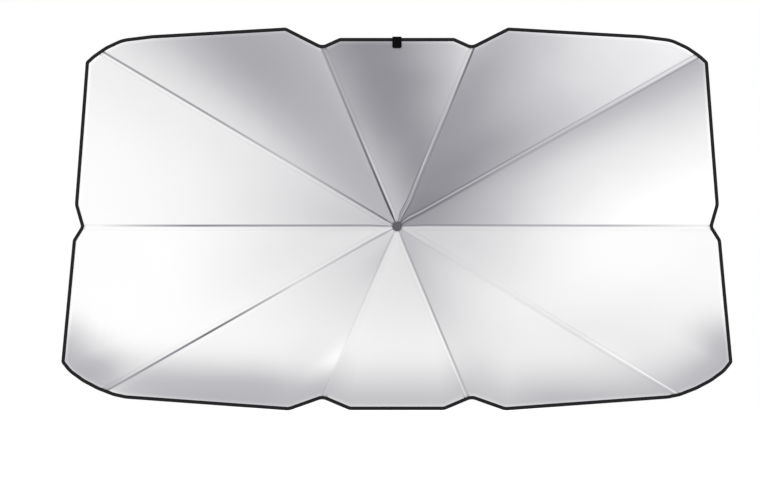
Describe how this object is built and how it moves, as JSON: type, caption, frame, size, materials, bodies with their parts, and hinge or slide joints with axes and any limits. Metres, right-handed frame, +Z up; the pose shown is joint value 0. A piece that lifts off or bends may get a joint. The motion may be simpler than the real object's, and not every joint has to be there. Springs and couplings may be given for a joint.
{
  "type": "windscreen sunshade",
  "caption": "Folding windscreen sunshade: a wide silver cloth canopy on hinged ribs, with a sliding runner and a telescopic shaft.",
  "frame": {"origin": "centre of the grip's flat end face", "axes": "+X to the right as seen from the silver side, +Z up, the silver side faces -Y and the grip's end face faces +Y"},
  "size_m": [1.454, 0.3547, 0.826],
  "materials": {
    "silver_cloth": "silver-coated woven cloth",
    "black_tape": "black woven binding tape",
    "black_webbing": "black webbing",
    "black_rib": "black coated rod",
    "zinc_steel": "plated steel",
    "black_tube": "black coated steel tube",
    "black_plastic": "black moulded plastic",
    "grey_cap": "dark grey moulded plastic",
    "black_grip": "black moulded grip"
  },
  "bodies": {
    "handle": {"grip": "black_grip", "rear_tube": "black_tube"},
    "middle_section": {"middle_tube": "zinc_steel"},
    "mast": {"front_tube": "zinc_steel", "crown": "black_plastic", "crown_wire": "zinc_steel", "cap": "grey_cap"},
    "canopy_upper_right": {"rib_upper_right": "black_rib", "rib_tip_upper_right": "black_plastic", "gore_top_right": "silver_cloth", "binding_top_right": "black_tape"},
    "canopy_right": {"rib_right": "black_rib", "rib_tip_right": "black_plastic", "gore_right_upper": "silver_cloth", "binding_right_upper": "black_tape"},
    "canopy_top_right": {"rib_top_right": "black_rib", "rib_tip_top_right": "black_plastic", "gore_top": "silver_cloth", "binding_top": "black_tape", "closing_tab": "black_webbing"},
    "canopy_top_left": {"rib_top_left": "black_rib", "rib_tip_top_left": "black_plastic", "gore_top_left": "silver_cloth", "binding_top_left": "black_tape"},
    "canopy_upper_left": {"rib_upper_left": "black_rib", "rib_tip_upper_left": "black_plastic", "gore_left_upper": "silver_cloth", "binding_left_upper": "black_tape"},
    "canopy_left": {"rib_left": "black_rib", "rib_tip_left": "black_plastic", "gore_left_lower": "silver_cloth", "binding_left_lower": "black_tape"},
    "canopy_lower_left": {"rib_lower_left": "black_rib", "rib_tip_lower_left": "black_plastic", "gore_bottom_left": "silver_cloth", "binding_bottom_left": "black_tape"},
    "canopy_bottom_left": {"rib_bottom_left": "black_rib", "rib_tip_bottom_left": "black_plastic", "gore_bottom": "silver_cloth", "binding_bottom": "black_tape"},
    "canopy_bottom_right": {"rib_bottom_right": "black_rib", "rib_tip_bottom_right": "black_plastic", "gore_bottom_right": "silver_cloth", "binding_bottom_right": "black_tape"},
    "canopy_lower_right": {"rib_lower_right": "black_rib", "rib_tip_lower_right": "black_plastic", "gore_right_lower": "silver_cloth", "binding_right_lower": "black_tape"},
    "stretcher_upper_right": {"stretcher_upper_right": "black_rib"},
    "stretcher_right": {"stretcher_right": "black_rib"},
    "stretcher_top_right": {"stretcher_top_right": "black_rib"},
    "stretcher_top_left": {"stretcher_top_left": "black_rib"},
    "stretcher_upper_left": {"stretcher_upper_left": "black_rib"},
    "stretcher_left": {"stretcher_left": "black_rib"},
    "stretcher_lower_left": {"stretcher_lower_left": "black_rib"},
    "stretcher_bottom_left": {"stretcher_bottom_left": "black_rib"},
    "stretcher_bottom_right": {"stretcher_bottom_right": "black_rib"},
    "stretcher_lower_right": {"stretcher_lower_right": "black_rib"},
    "runner": {"runner": "black_plastic"},
    "button": {"runner_button": "black_plastic"}
  },
  "joints": [
    {"name": "middle_slide", "type": "slide", "parent": "handle", "child": "middle_section", "axis": [0, -1, 0], "range_m": [0, 0.215]},
    {"name": "front_slide", "type": "slide", "parent": "middle_section", "child": "mast", "axis": [0, -1, 0], "range_m": [0, 0.215]},
    {"name": "fold_upper_right", "type": "hinge", "parent": "mast", "child": "canopy_upper_right", "pos_m": [0.00949, -0.34315, 0.00557], "axis": [-0.506, 0, 0.8625], "range_deg": [0, 78.5], "deforming": ["gore_top_right", "binding_top_right"]},
    {"name": "fold_right", "type": "hinge", "parent": "mast", "child": "canopy_right", "pos_m": [0.011, -0.34315, 0], "axis": [0, 0, 1], "range_deg": [0, 78.5], "deforming": ["gore_right_upper", "binding_right_upper"]},
    {"name": "fold_top_right", "type": "hinge", "parent": "mast", "child": "canopy_top_right", "pos_m": [0.00424, -0.34315, 0.01015], "axis": [-0.9225, 0, 0.3859], "range_deg": [0, 78.5], "deforming": ["gore_top", "binding_top", "closing_tab"]},
    {"name": "fold_top_left", "type": "hinge", "parent": "mast", "child": "canopy_top_left", "pos_m": [-0.00424, -0.34315, 0.01015], "axis": [-0.9225, 0, -0.3859], "range_deg": [0, 78.5], "deforming": ["gore_top_left", "binding_top_left"]},
    {"name": "fold_upper_left", "type": "hinge", "parent": "mast", "child": "canopy_upper_left", "pos_m": [-0.00949, -0.34315, 0.00557], "axis": [-0.506, 0, -0.8625], "range_deg": [0, 78.5], "deforming": ["gore_left_upper", "binding_left_upper"]},
    {"name": "fold_left", "type": "hinge", "parent": "mast", "child": "canopy_left", "pos_m": [-0.011, -0.34315, 0], "axis": [0, 0, -1], "range_deg": [0, 78.5], "deforming": ["gore_left_lower", "binding_left_lower"]},
    {"name": "fold_lower_left", "type": "hinge", "parent": "mast", "child": "canopy_lower_left", "pos_m": [-0.00946, -0.34315, -0.00562], "axis": [0.5105, 0, -0.8599], "range_deg": [0, 78.5], "deforming": ["gore_bottom_left", "binding_bottom_left"]},
    {"name": "fold_bottom_left", "type": "hinge", "parent": "mast", "child": "canopy_bottom_left", "pos_m": [-0.00435, -0.34315, -0.0101], "axis": [0.9184, 0, -0.3955], "range_deg": [0, 78.5], "deforming": ["gore_bottom", "binding_bottom"]},
    {"name": "fold_bottom_right", "type": "hinge", "parent": "mast", "child": "canopy_bottom_right", "pos_m": [0.00435, -0.34315, -0.0101], "axis": [0.9184, 0, 0.3955], "range_deg": [0, 78.5], "deforming": ["gore_bottom_right", "binding_bottom_right"]},
    {"name": "fold_lower_right", "type": "hinge", "parent": "mast", "child": "canopy_lower_right", "pos_m": [0.00946, -0.34315, -0.00562], "axis": [0.5105, 0, 0.8599], "range_deg": [0, 78.5], "deforming": ["gore_right_lower", "binding_right_lower"]},
    {"name": "stretcher_turn_upper_right", "type": "hinge", "parent": "canopy_upper_right", "child": "stretcher_upper_right", "pos_m": [0.09063, -0.32992, 0.05317], "axis": [-0.506, 0, 0.8625], "range_deg": [-157, 0]},
    {"name": "stretcher_turn_right", "type": "hinge", "parent": "canopy_right", "child": "stretcher_right", "pos_m": [0.10508, -0.32992, 0], "axis": [0, 0, 1], "range_deg": [-157, 0]},
    {"name": "stretcher_turn_top_right", "type": "hinge", "parent": "canopy_top_right", "child": "stretcher_top_right", "pos_m": [0.04055, -0.32992, 0.09694], "axis": [-0.9225, 0, 0.3859], "range_deg": [-157, 0]},
    {"name": "stretcher_turn_top_left", "type": "hinge", "parent": "canopy_top_left", "child": "stretcher_top_left", "pos_m": [-0.04055, -0.32992, 0.09694], "axis": [-0.9225, 0, -0.3859], "range_deg": [-157, 0]},
    {"name": "stretcher_turn_upper_left", "type": "hinge", "parent": "canopy_upper_left", "child": "stretcher_upper_left", "pos_m": [-0.09063, -0.32992, 0.05317], "axis": [-0.506, 0, -0.8625], "range_deg": [-157, 0]},
    {"name": "stretcher_turn_left", "type": "hinge", "parent": "canopy_left", "child": "stretcher_left", "pos_m": [-0.10508, -0.32992, 0], "axis": [0, 0, -1], "range_deg": [-157, 0]},
    {"name": "stretcher_turn_lower_left", "type": "hinge", "parent": "canopy_lower_left", "child": "stretcher_lower_left", "pos_m": [-0.09035, -0.32992, -0.05365], "axis": [0.5105, 0, -0.8599], "range_deg": [-157, 0]},
    {"name": "stretcher_turn_bottom_left", "type": "hinge", "parent": "canopy_bottom_left", "child": "stretcher_bottom_left", "pos_m": [-0.04156, -0.32992, -0.09651], "axis": [0.9184, 0, -0.3955], "range_deg": [-157, 0]},
    {"name": "stretcher_turn_bottom_right", "type": "hinge", "parent": "canopy_bottom_right", "child": "stretcher_bottom_right", "pos_m": [0.04156, -0.32992, -0.09651], "axis": [0.9184, 0, 0.3955], "range_deg": [-157, 0]},
    {"name": "stretcher_turn_lower_right", "type": "hinge", "parent": "canopy_lower_right", "child": "stretcher_lower_right", "pos_m": [0.09035, -0.32992, -0.05365], "axis": [0.5105, 0, 0.8599], "range_deg": [-157, 0]},
    {"name": "runner_slide", "type": "slide", "parent": "mast", "child": "runner", "axis": [0, 1, 0], "range_m": [0, 0.16321]},
    {"name": "button_press", "type": "slide", "parent": "runner", "child": "button", "axis": [0, 0, -1], "range_m": [0, 0.002], "stiffness_N_per_m": 300}
  ],
  "couplings": [
    {"joint": "fold_right", "follows": "fold_upper_right", "ratio": 1},
    {"joint": "fold_top_right", "follows": "fold_upper_right", "ratio": 1},
    {"joint": "fold_top_left", "follows": "fold_upper_right", "ratio": 1},
    {"joint": "fold_upper_left", "follows": "fold_upper_right", "ratio": 1},
    {"joint": "fold_left", "follows": "fold_upper_right", "ratio": 1},
    {"joint": "fold_lower_left", "follows": "fold_upper_right", "ratio": 1},
    {"joint": "fold_bottom_left", "follows": "fold_upper_right", "ratio": 1},
    {"joint": "fold_bottom_right", "follows": "fold_upper_right", "ratio": 1},
    {"joint": "fold_lower_right", "follows": "fold_upper_right", "ratio": 1},
    {"joint": "stretcher_turn_upper_right", "follows": "fold_upper_right", "ratio": -2},
    {"joint": "stretcher_turn_right", "follows": "fold_upper_right", "ratio": -2},
    {"joint": "stretcher_turn_top_right", "follows": "fold_upper_right", "ratio": -2},
    {"joint": "stretcher_turn_top_left", "follows": "fold_upper_right", "ratio": -2},
    {"joint": "stretcher_turn_upper_left", "follows": "fold_upper_right", "ratio": -2},
    {"joint": "stretcher_turn_left", "follows": "fold_upper_right", "ratio": -2},
    {"joint": "stretcher_turn_lower_left", "follows": "fold_upper_right", "ratio": -2},
    {"joint": "stretcher_turn_bottom_left", "follows": "fold_upper_right", "ratio": -2},
    {"joint": "stretcher_turn_bottom_right", "follows": "fold_upper_right", "ratio": -2},
    {"joint": "stretcher_turn_lower_right", "follows": "fold_upper_right", "ratio": -2},
    {"joint": "runner_slide", "follows": "fold_upper_right", "m_per_rad": 0.11912}
  ]
}
